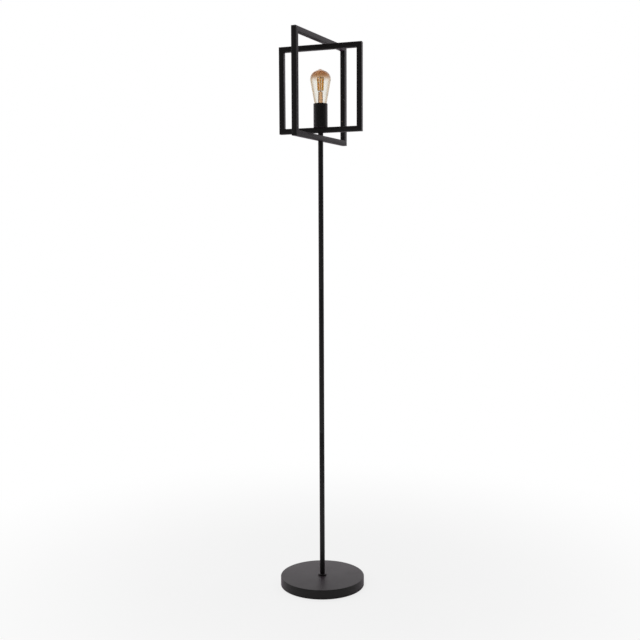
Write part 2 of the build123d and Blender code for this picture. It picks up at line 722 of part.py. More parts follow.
# Screw cap: ridged shell with a plain skirt that holds the neck
skirt_bottom = bulb_bottom + cap_height - cap_skirt_height
thread_start = bulb_bottom + cap_thread_bottom
cap_ridges = int((skirt_bottom - thread_start) / thread_pitch)
crest_start = thread_pitch * (1 - cap_crest_share) / 2
crest_end = crest_start + thread_pitch * cap_crest_share
skirt_inner_radius = bulb_neck_radius + glass_gap
with BuildPart() as bulb_cap:
    with BuildSketch(Plane.XZ):
        with BuildLine():
            ridge_points = [(thread_root, thread_start)]
            for ridge in range(cap_ridges):
                ridge_bottom = thread_start + cap_thread_lead + ridge * thread_pitch
                ridge_points += [
                    (thread_root, ridge_bottom),
                    (thread_crest, ridge_bottom + crest_start),
                    (thread_crest, ridge_bottom + crest_end),
                ]
            Polyline(
                *ridge_points,
                (thread_root, skirt_bottom - cap_shoulder_height),
                (skirt_inner_radius + cap_wall, skirt_bottom),
                (skirt_inner_radius + cap_wall, skirt_bottom + cap_skirt_height),
                (skirt_inner_radius, skirt_bottom + cap_skirt_height),
                (skirt_inner_radius, skirt_bottom),
                (thread_root - cap_wall, skirt_bottom - cap_shoulder_height),
                (thread_root - cap_wall, thread_start),
                close=True,
            )
        make_face()
    revolve(axis=Axis.Z)
save(bulb_cap, "bulb_cap")

with BuildPart() as cap_insulator:
    with BuildSketch(Plane.XZ):
        Polygon(
            (0, bulb_bottom + cap_contact_height),
            (insulator_bottom_radius, bulb_bottom + cap_contact_height),
            (thread_root, thread_start),
            (thread_root - cap_wall - glass_gap, thread_start),
            (thread_root - cap_wall - glass_gap, thread_start + insulator_plug_height),
            (0, thread_start + insulator_plug_height),
            align=None,
        )
    revolve(axis=Axis.Z)
save(cap_insulator, "cap_insulator")

with BuildPart() as cap_contact:
    with BuildSketch(Plane.XY.offset(bulb_bottom)):
        Circle(cap_contact_radius)
    extrude(amount=cap_contact_height)
    fillet(cap_contact.edges().group_by(Axis.Z)[0], cap_contact_height / 2)
save(cap_contact, "cap_contact")

# Glass stem: a flared tube sealed to the neck, pinched shut, with a rod up the middle
stem_bottom = skirt_bottom + stem_seat_gap
stem_flare_radius = bulb_neck_radius - glass_wall - glass_gap
stem_mouth_radius = stem_flare_radius - stem_wall - stem_flare_land
stem_top = bulb_bottom + stem_tube_height
stem_bore_top = stem_top - stem_pinch_solid
flare_top = stem_bottom + stem_flare_height
with BuildPart() as bulb_stem:
    with BuildSketch(Plane.XZ):
        with BuildLine():
            FilletPolyline(
                (stem_flare_radius, stem_bottom),
                (stem_flare_radius, stem_bottom + stem_wall),
                (stem_tube_radius, flare_top),
                (stem_tube_radius - stem_taper, stem_top - stem_pinch_height),
                (stem_rod_radius, stem_top),
                (stem_rod_radius, bulb_bottom + stem_rod_top),
                radius=[stem_rim_round, stem_bend_round, stem_bend_round, stem_small_round],
            )
            Line((stem_rod_radius, bulb_bottom + stem_rod_top), (0, bulb_bottom + stem_rod_top))
            Line((0, bulb_bottom + stem_rod_top), (0, stem_bore_top))
            FilletPolyline(
                (0, stem_bore_top),
                (stem_tube_radius - stem_taper - stem_wall, stem_bore_top - stem_pinch_solid),
                (stem_tube_radius - stem_wall, flare_top),
                (stem_mouth_radius, stem_bottom),
                radius=[stem_small_round, stem_bend_round],
            )
            Line((stem_mouth_radius, stem_bottom), (stem_flare_radius, stem_bottom))
        make_face()
    revolve(axis=Axis.Z)
save(bulb_stem, "bulb_stem")

# Filament sticks stand in a ring that opens towards the top
filament_low = bulb_bottom + filament_bottom
filament_high = filament_low + filament_length
with BuildPart() as filaments:
    for index in range(filament_count):
        turn = radians(filament_turn + index * 360 / filament_count)
        low = Vector(filament_ring_bottom * cos(turn), filament_ring_bottom * sin(turn), filament_low)
        high = Vector(filament_ring_top * cos(turn), filament_ring_top * sin(turn), filament_high)
        with BuildSketch(Plane(origin=low, z_dir=high - low)):
            Circle(filament_radius)
        extrude(amount=(high - low).length)
save(filaments, "filaments")

# Wires: on each end of the sticks, a ring round the rod with a spoke to every stick
filament_lean = (filament_ring_top - filament_ring_bottom) / filament_length
end_tilt = filament_radius * filament_lean  # how far a leaning stick's end rises over its own centre
spoke_level = filament_high + end_tilt + touch_gap + support_wire_radius
lead_level = filament_low - end_tilt - touch_gap - support_wire_radius
with BuildPart() as support_wires:
    for level, reach in ((spoke_level, filament_ring_top), (lead_level, filament_ring_bottom)):
        for index in range(filament_count):
            turn = radians(filament_turn + index * 360 / filament_count)
            outward = Vector(cos(turn), sin(turn), 0)
            start = outward * (stem_rod_radius + support_wire_radius) + Vector(0, 0, level)
            with BuildSketch(Plane(origin=start, z_dir=outward)):
                Circle(support_wire_radius)
            extrude(amount=reach - stem_rod_radius - support_wire_radius)
        ring_outer = stem_rod_radius + 2 * support_wire_radius
        tube(ring_outer, stem_rod_radius + press_gap, level - support_wire_radius, 2 * support_wire_radius)
save(support_wires, "support_wires")
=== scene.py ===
"""Cage floor lamp: the visible pieces and their finishes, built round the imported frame.

Outlines are in millimetres and become metres when a mesh is made. +Z is up and the pole stands on Z.
"""

import json
from math import atan2, ceil, cos, degrees, pi, radians, sin, sqrt, tan

import bmesh
import bpy
from mathutils import Matrix, Vector, noise


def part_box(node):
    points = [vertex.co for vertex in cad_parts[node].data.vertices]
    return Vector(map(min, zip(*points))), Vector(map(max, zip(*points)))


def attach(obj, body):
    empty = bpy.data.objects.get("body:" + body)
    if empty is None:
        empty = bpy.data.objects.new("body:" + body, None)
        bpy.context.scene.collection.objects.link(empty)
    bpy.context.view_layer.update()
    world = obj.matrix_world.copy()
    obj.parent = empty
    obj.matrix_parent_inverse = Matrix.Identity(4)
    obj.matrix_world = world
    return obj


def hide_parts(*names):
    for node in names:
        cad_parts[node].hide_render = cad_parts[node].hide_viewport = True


MM = 0.001
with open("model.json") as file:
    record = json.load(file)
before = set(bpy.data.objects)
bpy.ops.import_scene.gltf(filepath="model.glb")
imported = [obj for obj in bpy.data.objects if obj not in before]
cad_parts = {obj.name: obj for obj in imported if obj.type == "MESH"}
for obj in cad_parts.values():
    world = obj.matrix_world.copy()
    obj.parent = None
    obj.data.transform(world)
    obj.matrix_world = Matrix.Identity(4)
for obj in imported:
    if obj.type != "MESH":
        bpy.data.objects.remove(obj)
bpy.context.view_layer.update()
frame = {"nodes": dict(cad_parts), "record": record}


def extent(node):
    """Lowest and highest corner of a CAD node, in millimetres."""
    low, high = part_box(node)
    return low / MM, high / MM


# ---------------------------------------------------------------- camera
CAMERA_PLACE = (-0.0041, -2.6189, 1.0185)
CAMERA_PITCH = 4.796  # degrees below level
CAMERA_ROLL = -0.244  # degrees; the lamp leans a little to the left in the photograph

camera = bpy.data.objects.new("camera", bpy.data.cameras.new("camera"))
bpy.context.scene.collection.objects.link(camera)
camera.data.lens = 50.2
camera.data.sensor_width = 36.0
pitched = Matrix.Rotation(radians(90 - CAMERA_PITCH), 4, "X") @ Matrix.Rotation(radians(CAMERA_ROLL), 4, "Z")
camera.matrix_world = Matrix.Translation(CAMERA_PLACE) @ pitched
bpy.context.scene.camera = camera
bpy.context.scene.view_settings.view_transform = "Standard"


# ---------------------------------------------------------------- shader nodes
BUMP_STRENGTH = 0.5
# Sockets of a Mix node that blends two colours: how much of the second, the two colours, and the result
SHARE, FIRST, SECOND, BLENDED = 0, 6, 7, 2
SMOOTH = {"interpolation_type": "SMOOTHSTEP"}  # for a Map Range that starts and ends gently


def colour(code):
    """Linear RGBA of an sRGB colour written as #rrggbb."""
    parts = [int(code[i : i + 2], 16) / 255 for i in (1, 3, 5)]
    return [c / 12.92 if c <= 0.04045 else ((c + 0.055) / 1.055) ** 2.4 for c in parts] + [1.0]


def add(tree, kind, inputs=(), **settings):
    """Adds a node. inputs holds a value, or the output that feeds it, for each socket: in a list from
    the first socket on, or in a dict by the socket's name or number. A Map Range takes a value, the two
    ends of its range and what they become."""
    made = tree.nodes.new(kind)
    for name, value in settings.items():
        setattr(made, name, value)
    for socket, value in inputs.items() if isinstance(inputs, dict) else enumerate(inputs):
        if isinstance(value, bpy.types.NodeSocket):
            tree.links.new(value, made.inputs[socket])
        else:
            made.inputs[socket].default_value = value
    return made


def new_material(name):
    """An empty material, its tree, and the place on the piece in metres."""
    material = bpy.data.materials.new(name)
    material.use_nodes = True
    material.node_tree.nodes.clear()
    return material, material.node_tree, add(material.node_tree, "ShaderNodeTexCoord").outputs["Object"]


def sized(place, size, **others):
    """Sockets of a texture whose features have this size in millimetres."""
    return {"Vector": place, "Scale": 1 / (size * MM), **others}


def finished(material, tree, surface, relief, depth, clear_tint=None):
    """Gives the material its Principled shader, whose sockets are in surface. relief is the output that
    lifts the surface by depth in millimetres. clear_tint makes it a glass, which rays to the lamps
    cross in a straight line."""
    bump = {"Height": relief, "Strength": BUMP_STRENGTH, "Distance": depth * MM}
    normal = add(tree, "ShaderNodeBump", bump).outputs[0]
    shader = add(tree, "ShaderNodeBsdfPrincipled", {**surface, "Normal": normal}).outputs[0]
    if clear_tint:
        ray = add(tree, "ShaderNodeLightPath").outputs["Is Shadow Ray"]
        clear = add(tree, "ShaderNodeBsdfTransparent", {"Color": colour(clear_tint)}).outputs[0]
        shader = add(tree, "ShaderNodeMixShader", [ray, shader, clear]).outputs[0]
    add(tree, "ShaderNodeOutputMaterial", {"Surface": shader})
    return material


# ---------------------------------------------------------------- finishes
def fine_texture_powder_coat():
    """Black polyester powder, sprayed on steel and baked. Its grains give a fine tooth that dulls the
    shine seen square on, and a soft purple-grey sheen at a flat angle. The real grains are about 0.2
    mm; they are drawn coarser, so that they show."""
    material, tree, place = new_material("fine_texture_powder_coat")
    grain = add(tree, "ShaderNodeTexNoise", sized(place, 0.6)).outputs[0]
    patches = add(tree, "ShaderNodeTexNoise", sized(place, 45.0, Detail=3.0)).outputs[0]
    # Specks a shade lighter in colour, spread at random, one in each 1.6 mm
    spots = add(tree, "ShaderNodeTexVoronoi", sized(place, 1.6)).outputs["Distance"]
    lighter_specks = add(tree, "ShaderNodeMapRange", [spots, 0.05, 0.35, 0.5, 0.0]).outputs[0]
    blacks = {SHARE: patches, FIRST: colour("#121111"), SECOND: colour("#181716")}
    black = add(tree, "ShaderNodeMix", blacks, data_type="RGBA").outputs[BLENDED]
    tones = {SHARE: lighter_specks, FIRST: black, SECOND: colour("#242223")}
    surface = {
        "Base Color": add(tree, "ShaderNodeMix", tones, data_type="RGBA").outputs[BLENDED],
        "Roughness": add(tree, "ShaderNodeMapRange", [patches, 0.0, 1.0, 0.4, 0.5]).outputs[0],
        "IOR": 1.5,
        "Specular IOR Level": 0.36,
        "Sheen Weight": 0.2,
        "Sheen Roughness": 0.4,
        "Sheen Tint": colour("#c792bc"),
    }
    return finished(material, tree, surface, grain, 0.012)


def sand_cast_iron():
    """Grey iron cast in sand and oiled: grains of about a millimetre, dark pores and oily patches."""
    material, tree, place = new_material("sand_cast_iron")
    oil = add(tree, "ShaderNodeTexNoise", sized(place, 35.0, Detail=3.0)).outputs[0]
    grain = add(tree, "ShaderNodeTexNoise", sized(place, 1.1, Detail=4.0)).outputs[0]
    pores = add(tree, "ShaderNodeTexVoronoi", sized(place, 5.0)).outputs["Distance"]
    skin = add(tree, "ShaderNodeMath", [grain, pores]).outputs[0]
    tones = {SHARE: oil, FIRST: colour("#34332f"), SECOND: colour("#56544f")}
    surface = {
        "Base Color": add(tree, "ShaderNodeMix", tones, data_type="RGBA").outputs[BLENDED],
        "Metallic": 0.7,
        "Roughness": add(tree, "ShaderNodeMapRange", [oil, 0.0, 1.0, 0.45, 0.75]).outputs[0],
    }
    return finished(material, tree, surface, skin, 0.4)


def zinc_plated_steel():
    """Turned steel, zinc plated and passivated: bright, with a faint blue and straw cast and the lines
    that the tool left every 0.35 mm."""
    material, tree, place = new_material("zinc_plated_steel")
    cast = add(tree, "ShaderNodeTexNoise", sized(place, 6.0)).outputs[0]
    height = add(tree, "ShaderNodeSeparateXYZ", [place]).outputs[2]
    phase = add(tree, "ShaderNodeMath", [height, 2 * pi / (0.35 * MM)], operation="MULTIPLY").outputs[0]
    lines = add(tree, "ShaderNodeMath", [phase], operation="SINE").outputs[0]
    tones = {SHARE: cast, FIRST: colour("#b7bcc4"), SECOND: colour("#cfcabb")}
    surface = {
        "Base Color": add(tree, "ShaderNodeMix", tones, data_type="RGBA").outputs[BLENDED],
        "Metallic": 1.0,
        "Roughness": add(tree, "ShaderNodeMapRange", [cast, 0.0, 1.0, 0.22, 0.4]).outputs[0],
    }
    return finished(material, tree, surface, lines, 0.01)


def hot_dip_galvanised_sheet():
    """Steel sheet dipped in molten zinc and punched to a disc: flat crystals of about 9 mm, each its
    own grey."""
    material, tree, place = new_material("hot_dip_galvanised_sheet")
    crystal = add(tree, "ShaderNodeTexVoronoi", sized(place, 9.0)).outputs["Color"]
    shades = add(tree, "ShaderNodeSeparateColor", [crystal])
    scratches = add(tree, "ShaderNodeTexNoise", sized(place, 1.5, Detail=3.0)).outputs[0]
    tones = {SHARE: shades.outputs[0], FIRST: colour("#9da2a4"), SECOND: colour("#c3c7c7")}
    surface = {
        "Base Color": add(tree, "ShaderNodeMix", tones, data_type="RGBA").outputs[BLENDED],
        "Metallic": 1.0,
        "Roughness": add(tree, "ShaderNodeMapRange", [shades.outputs[1], 0.0, 1.0, 0.3, 0.5]).outputs[0],
    }
    return finished(material, tree, surface, scratches, 0.02)


def die_cut_foam():
    """Closed-cell EVA, split from a block and die cut: matt charcoal with cut cells just under 1 mm
    wide."""
    material, tree, place = new_material("die_cut_foam")
    cut_cells = add(tree, "ShaderNodeTexVoronoi", sized(place, 0.9)).outputs["Distance"]
    patches = add(tree, "ShaderNodeTexNoise", sized(place, 25.0, Detail=4.0)).outputs[0]
    tones = {SHARE: patches, FIRST: colour("#26262a"), SECOND: colour("#3b3a3c")}
    surface = {
        "Base Color": add(tree, "ShaderNodeMix", tones, data_type="RGBA").outputs[BLENDED],
        "Roughness": add(tree, "ShaderNodeMapRange", [cut_cells, 0.0, 1.0, 0.8, 0.95]).outputs[0],
        "IOR": 1.45,
    }
    return finished(material, tree, surface, cut_cells, 0.25)


def moulded(name, dark, light, roughness, grain, depth=0.02):
    """A moulded, extruded or poured plastic or glass: patches where it flowed, and the grain of its
    tool."""
    material, tree, place = new_material(name)
    flow = add(tree, "ShaderNodeTexNoise", sized(place, 14.0)).outputs[0]
    tool_marks = add(tree, "ShaderNodeTexNoise", sized(place, grain)).outputs[0]
    tones = {SHARE: flow, FIRST: colour(dark), SECOND: colour(light)}
    gloss = [flow, 0.0, 1.0, roughness - 0.06, roughness + 0.06]
    surface = {
        "Base Color": add(tree, "ShaderNodeMix", tones, data_type="RGBA").outputs[BLENDED],
        "Roughness": add(tree, "ShaderNodeMapRange", gloss).outputs[0],
        "IOR": 1.5,
    }
    return finished(material, tree, surface, tool_marks, depth)


def striped_earth_core():
    """Extruded PVC, green with a yellow stripe that comes round every 12 mm."""
    material, tree, place = new_material("striped_earth_core")
    run = add(tree, "ShaderNodeVectorMath", [place, (1, 1, 1)], operation="DOT_PRODUCT").outputs["Value"]
    phase = add(tree, "ShaderNodeMath", [run, 2 * pi / (12.0 * MM)], operation="MULTIPLY").outputs[0]
    wave = add(tree, "ShaderNodeMath", [phase], operation="SINE").outputs[0]
    stripe = add(tree, "ShaderNodeMapRange", [wave, 0.1, 0.2, 0.0, 1.0]).outputs[0]
    skin = add(tree, "ShaderNodeTexNoise", sized(place, 0.6)).outputs[0]
    tones = {SHARE: stripe, FIRST: colour("#2f8a3a"), SECOND: colour("#d9cf2b")}
    surface = {
        "Base Color": add(tree, "ShaderNodeMix", tones, data_type="RGBA").outputs[BLENDED],
        "Roughness": add(tree, "ShaderNodeMapRange", [skin, 0.0, 1.0, 0.35, 0.5]).outputs[0],
        "IOR": 1.53,
    }
    return finished(material, tree, surface, skin, 0.01)


def glazed_porcelain():
    """Pressed steatite with a clear glaze: warm white and glassy, with a ripple in the glaze and iron
    specks."""
    material, tree, place = new_material("glazed_porcelain")
    ripple = add(tree, "ShaderNodeTexNoise", sized(place, 5.0)).outputs[0]
    spots = add(tree, "ShaderNodeTexVoronoi", sized(place, 4.0)).outputs["Distance"]
    specks = add(tree, "ShaderNodeMapRange", [spots, 0.03, 0.08, 0.5, 0.0]).outputs[0]
    tones = {SHARE: specks, FIRST: colour("#efece2"), SECOND: colour("#b8ab94")}
    surface = {
        "Base Color": add(tree, "ShaderNodeMix", tones, data_type="RGBA").outputs[BLENDED],
        "Roughness": add(tree, "ShaderNodeMapRange", [ripple, 0.0, 1.0, 0.1, 0.2]).outputs[0],
        "IOR": 1.5,
    }
    return finished(material, tree, surface, ripple, 0.05)


def worked_metal(name, clean, stained, gloss, stain, mark, depth):
    """A stamped, rolled, drawn or soldered metal. stain and mark are the sizes of its dull patches and
    of the marks of its making, and gloss is the roughness where it is clean and where it is stained."""
    material, tree, place = new_material(name)
    patches = add(tree, "ShaderNodeTexNoise", sized(place, stain, Detail=4.0)).outputs[0]
    marks = add(tree, "ShaderNodeTexNoise", sized(place, mark, Detail=3.0)).outputs[0]
    tones = {SHARE: patches, FIRST: colour(clean), SECOND: colour(stained)}
    surface = {
        "Base Color": add(tree, "ShaderNodeMix", tones, data_type="RGBA").outputs[BLENDED],
        "Metallic": 1.0,
        "Roughness": add(tree, "ShaderNodeMapRange", [patches, 0.0, 1.0, *gloss]).outputs[0],
    }
    return finished(material, tree, surface, marks, depth)


def lustred_amber_glass():
    """Soda-lime glass, blown thin and lustred amber inside: nearly clear on the flanks, tan towards the
    outline, where the eye looks along the wall, and brown on the dome, where the lustre lies
    thickest."""
    material, tree, place = new_material("lustred_amber_glass")
    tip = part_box("bulb_glass")[1].z
    height = add(tree, "ShaderNodeSeparateXYZ", [place]).outputs[2]
    streaks = add(tree, "ShaderNodeTexNoise", sized(place, 16.0)).outputs[0]
    facing = add(tree, "ShaderNodeLayerWeight", {"Blend": 0.5}).outputs["Facing"]
    along_wall = add(tree, "ShaderNodeMapRange", [facing, 0.2, 0.55, 0.0, 1.0], **SMOOTH)
    dome = add(tree, "ShaderNodeMapRange", [height, tip - 34 * MM, tip - 12 * MM, 0.0, 1.0], **SMOOTH)
    flanks = {SHARE: along_wall.outputs[0], FIRST: colour("#fbfaf6"), SECOND: colour("#c6b094")}
    flank = add(tree, "ShaderNodeMix", flanks, data_type="RGBA").outputs[BLENDED]
    tones = {SHARE: dome.outputs[0], FIRST: flank, SECOND: colour("#c39c76")}
    surface = {
        "Base Color": add(tree, "ShaderNodeMix", tones, data_type="RGBA").outputs[BLENDED],
        "Roughness": 0.01,
        "IOR": 1.5,
        "Transmission Weight": 1.0,
    }
    return finished(material, tree, surface, streaks, 0.15, "#f0e2cc")


def flame_worked_stem_glass():
    """Tube glass, flared and pinched shut in a flame, with the same amber lustre: honey brown, and
    darker along its sides, with a soft ripple from the drawing."""
    material, tree, place = new_material("flame_worked_stem_glass")
    ripple = add(tree, "ShaderNodeTexNoise", sized(place, 7.0, Detail=1.0)).outputs[0]
    facing = add(tree, "ShaderNodeLayerWeight", {"Blend": 0.5}).outputs["Facing"]
    honeys = {SHARE: ripple, FIRST: colour("#d0a67c"), SECOND: colour("#c6996c")}
    honey = add(tree, "ShaderNodeMix", honeys, data_type="RGBA").outputs[BLENDED]
    tones = {SHARE: facing, FIRST: honey, SECOND: colour("#a5774c")}
    surface = {
        "Base Color": add(tree, "ShaderNodeMix", tones, data_type="RGBA").outputs[BLENDED],
        "Roughness": 0.06,
        "IOR": 1.5,
        "Transmission Weight": 1.0,
    }
    return finished(material, tree, surface, ripple, 0.15, "#ead7b4")


def dipped_phosphor_silicone():
    """Silicone with phosphor, dipped over the filament sticks: matt gold, slightly uneven in thickness,
    and a little translucent."""
    material, tree, place = new_material("dipped_phosphor_silicone")
    lumps = add(tree, "ShaderNodeTexNoise", sized(place, 2.5)).outputs[0]
    tones = {SHARE: lumps, FIRST: colour("#ffc24a"), SECOND: colour("#ffd675")}
    surface = {
        "Base Color": add(tree, "ShaderNodeMix", tones, data_type="RGBA").outputs[BLENDED],
        "Roughness": add(tree, "ShaderNodeMapRange", [lumps, 0.0, 1.0, 0.4, 0.6]).outputs[0],
        "IOR": 1.41,
        "Subsurface Weight": 0.9,
        "Subsurface Radius": (1.0, 0.75, 0.35),
        "Subsurface Scale": 1.5 * MM,
    }
    return finished(material, tree, surface, lumps, 0.05)


finishes = {
    "powder_coat": fine_texture_powder_coat(),
    "cast_iron": sand_cast_iron(),
    "zinc_steel": zinc_plated_steel(),
    "galvanised_sheet": hot_dip_galvanised_sheet(),
    "foam_pad": die_cut_foam(),
    # Injection-moulded nylon: satin black, with the even grain of a spark-eroded tool
    "gland_nylon": moulded("injection_moulded_nylon", "#1c1c1d", "#28282a", 0.5, 0.4),
    # Extruded PVC: a smooth skin with a soft sheen
    "flex_sheath": moulded("extruded_pvc_sheath", "#1a1a1a", "#262626", 0.55, 0.8),
    "core_brown": moulded("extruded_pvc_brown", "#5a3218", "#6d4022", 0.4, 0.6),
    "core_blue": moulded("extruded_pvc_blue", "#1f5fae", "#2a6fc2", 0.4, 0.6),
    "core_earth": striped_earth_core(),
    "porcelain": glazed_porcelain(),
    # Stamped brass: yellow, dull in patches, with shallow marks from the press
    "brass": worked_metal("stamped_brass", "#d8b465", "#a9803c", (0.2, 0.45), 9.0, 0.8, 0.02),
    # Rolled brass screw cap: a paler yellow that handling has dulled
    "nickel_cap": worked_metal("rolled_brass_cap", "#d6bd83", "#9c8250", (0.22, 0.42), 7.0, 0.9, 0.02),
    # Black vitrite, poured into the cap while molten: glossy, with slow flow marks
    "cap_glass": moulded("poured_black_vitrite", "#08080a", "#131316", 0.14, 2.0, 0.08),
    # Solder set in a dome: grey, and dull where it froze last
    "solder": worked_metal("set_solder", "#b9babc", "#8e8f92", (0.25, 0.5), 2.5, 1.2, 0.05),
    "amber_glass": lustred_amber_glass(),
    "stem_glass": flame_worked_stem_glass(),
    "filament_coating": dipped_phosphor_silicone(),
    # Drawn nickel wire: warm grey, with faint lines from the die
    "nickel_wire": worked_metal("drawn_nickel_wire", "#b3aa9c", "#8b8172", (0.25, 0.4), 3.0, 0.4, 0.01),
}
slot_of = {part["node"]: part["material_slot"] for part in frame["record"]["subparts"]}
body_of = {node: body for body, nodes in frame["record"]["behaviour"]["bodies"].items() for node in nodes}
for node, part in frame["nodes"].items():
    part.data.materials.clear()
    part.data.materials.append(finishes[slot_of[node]])


# ---------------------------------------------------------------- meshes
SHARP_ANGLE = 32  # degrees; an edge that turns by less is shaded smooth


def linked(name, mesh):
    """Puts a bmesh into the scene as an object."""
    data = bpy.data.meshes.new(name)
    mesh.to_mesh(data)
    mesh.free()
    made = bpy.data.objects.new(name, data)
    bpy.context.scene.collection.objects.link(made)
    return made


def cut(solid, centre, axis, radius, length):
    """Cuts a round hole through an object. Sizes are in millimetres."""
    drill = bmesh.new()
    turn = Vector((0, 0, 1)).rotation_difference(Vector(axis)).to_matrix().to_4x4()
    place = Matrix.Translation(Vector(centre) * MM) @ turn
    bmesh.ops.create_cone(
        drill,
        cap_ends=True,
        segments=64,
        radius1=radius * MM,
        radius2=radius * MM,
        depth=length * MM,
        matrix=place,
    )
    drill = linked("drill", drill)
    hole = solid.modifiers.new("hole", "BOOLEAN")
    hole.object = drill
    solid.data = bpy.data.meshes.new_from_object(solid.evaluated_get(bpy.context.evaluated_depsgraph_get()))
    solid.modifiers.clear()
    bpy.data.objects.remove(drill)


def piece(name, mesh, node, holes=(), slot=None):
    """A piece that stands for a CAD node, with its finish, on its body. One that names a slot of its
    own stands beside the node's piece."""
    bmesh.ops.recalc_face_normals(mesh, faces=mesh.faces)
    made = linked(name, mesh)
    for hole in holes:
        cut(made, *hole)
    made.data.polygons.foreach_set("use_smooth", [True] * len(made.data.polygons))
    made.data.set_sharp_from_angle(angle=radians(SHARP_ANGLE))
    made.data.materials.append(finishes[slot or slot_of[node]])
    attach(made, body_of[node])
    if not slot:
        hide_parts(node)


def rounded(corners, step=10):
    """Outline through corners of (x, y, fillet), with an arc of that radius at each and a point every step
    degrees along it."""
    outline = []
    for index, (x, y, fillet) in enumerate(corners):
        here = Vector((x, y))
        if not fillet:
            outline.append(here)
            continue
        to_before = (Vector(corners[index - 1][:2]) - here).normalized()
        to_after = (Vector(corners[(index + 1) % len(corners)][:2]) - here).normalized()
        half = to_before.angle(to_after) / 2
        centre = here + (to_before + to_after).normalized() * (fillet / sin(half))
        start = here + to_before * (fillet / tan(half)) - centre
        end = here + to_after * (fillet / tan(half)) - centre
        first = atan2(start.y, start.x)
        sweep = (atan2(end.y, end.x) - first + pi) % (2 * pi) - pi
        steps = max(2, ceil(abs(degrees(sweep)) / step))
        turns = [first + sweep * k / steps for k in range(steps + 1)]
        outline += [centre + fillet * Vector((cos(turn), sin(turn))) for turn in turns]
    return outline


def joined(mesh, first, second):
    """Faces between two rings of corners. A ring of one corner is a point."""
    count = max(len(first), len(second))
    for k in range(count):
        after = (k + 1) % count
        edge = [first[k % len(first)], first[after % len(first)]]
        next_edge = [second[after % len(second)], second[k % len(second)]]
        corners = list(dict.fromkeys(edge + next_edge))
        if len(corners) > 2:
            mesh.faces.new(corners)


def turned(outline, segments=96, swell=None):
    """A solid of revolution about Z from an outline of (radius, height) that closes on itself, or that
    starts and ends on the axis. swell gives the radius from (radius, height, angle)."""
    mesh = bmesh.new()
    rings = []
    for radius, height in outline:
        ring = []
        for k in range(segments if radius > 1e-6 else 1):
            angle = 2 * pi * k / segments
            reach = swell(radius, height, angle) if swell and radius else radius
            ring.append(mesh.verts.new(Vector((reach * cos(angle), reach * sin(angle), height)) * MM))
        rings.append(ring)
    if len(rings[0]) > 1:
        rings.append(rings[0])
    for low, high in zip(rings, rings[1:]):
        joined(mesh, low, high)
    return mesh


def tube_along(mesh, path, radii, sides=10):
    """Adds a solid round rod along a path, with a radius for each of its points."""
    rings = []
    across = (path[1] - path[0]).orthogonal()
    for index, (point, radius) in enumerate(zip(path, radii)):
        run = (path[min(index + 1, len(path) - 1)] - path[max(index - 1, 0)]).normalized()
        across = (across - run * across.dot(run)).normalized()
        side = run.cross(across)
        turns = [2 * pi * k / sides for k in range(sides)]
        spots = [point + radius * (cos(turn) * across + sin(turn) * side) for turn in turns]
        rings.append([mesh.verts.new(spot * MM) for spot in spots])
    for low, high in zip(rings, rings[1:]):
        joined(mesh, low, high)
    mesh.faces.new(rings[0])
    mesh.faces.new(rings[-1])


# ---------------------------------------------------------------- base
SCREW_HOLE = 5.05  # radius of the holes that the screwed tube passes
COVER_WALL = 1.2
COVER_EDGE = 2.0
COVER_HEM = 0.5
PAD_HOLE = 6.0
SCREW_HEAD = 3.75
GLAND_BORE = 2.85
GLAND_NECK = 4.5
GLAND_PLAY = 0.05  # air round the neck, and between the flange and the wall

gland_low, gland_high = extent("cord_gland")
GLAND_HEIGHT = (gland_low.z + gland_high.z) / 2
cover_low, cover_high = extent("base_cover")
BASE_RADIUS = cover_high.x
piece(
    "pressed_base_cover",
    turned(
        rounded(
            [
                (BASE_RADIUS, cover_low.z, COVER_HEM),
                (BASE_RADIUS, cover_high.z, COVER_EDGE),
                (SCREW_HOLE, cover_high.z, 0),
                (SCREW_HOLE, cover_high.z - COVER_WALL, 0),
                (BASE_RADIUS - COVER_WALL, cover_high.z - COVER_WALL, COVER_EDGE - COVER_WALL),
                (BASE_RADIUS - COVER_WALL, cover_low.z, COVER_HEM),
            ]
        ),
        segments=240,
    ),
    "base_cover",
    holes=[((0, BASE_RADIUS, GLAND_HEIGHT), (0, 1, 0), GLAND_NECK + GLAND_PLAY, 6 * COVER_WALL)],
)

collar_low, collar_high = extent("foot_collar")
collar_outline = rounded(
    [
        (SCREW_HOLE, collar_low.z, 0),
        (collar_high.x, collar_low.z, 0),
        (collar_high.x, collar_high.z, 0.7),
        (SCREW_HOLE, collar_high.z, 0),
    ]
)
piece("turned_foot_collar", turned(collar_outline), "foot_collar")

# The pad's holes let a screwdriver reach the plate's screws, and the first one is at the front
pad_high = extent("base_pad")[1]
screw_circle = -extent("plate_screws")[0].y - SCREW_HEAD
pad_outline = rounded([(0, 0, 0), (pad_high.x, 0, 0.4), (pad_high.x, pad_high.z, 0.2), (0, pad_high.z, 0)])
pad_holes = []
for screw in range(3):
    angle = radians(120 * screw - 90)
    centre = (screw_circle * cos(angle), screw_circle * sin(angle), 0)
    pad_holes.append((centre, (0, 0, 1), PAD_HOLE, 4 * pad_high.z))
piece("foam_base_pad", turned(pad_outline, segments=192), "base_pad", holes=pad_holes)

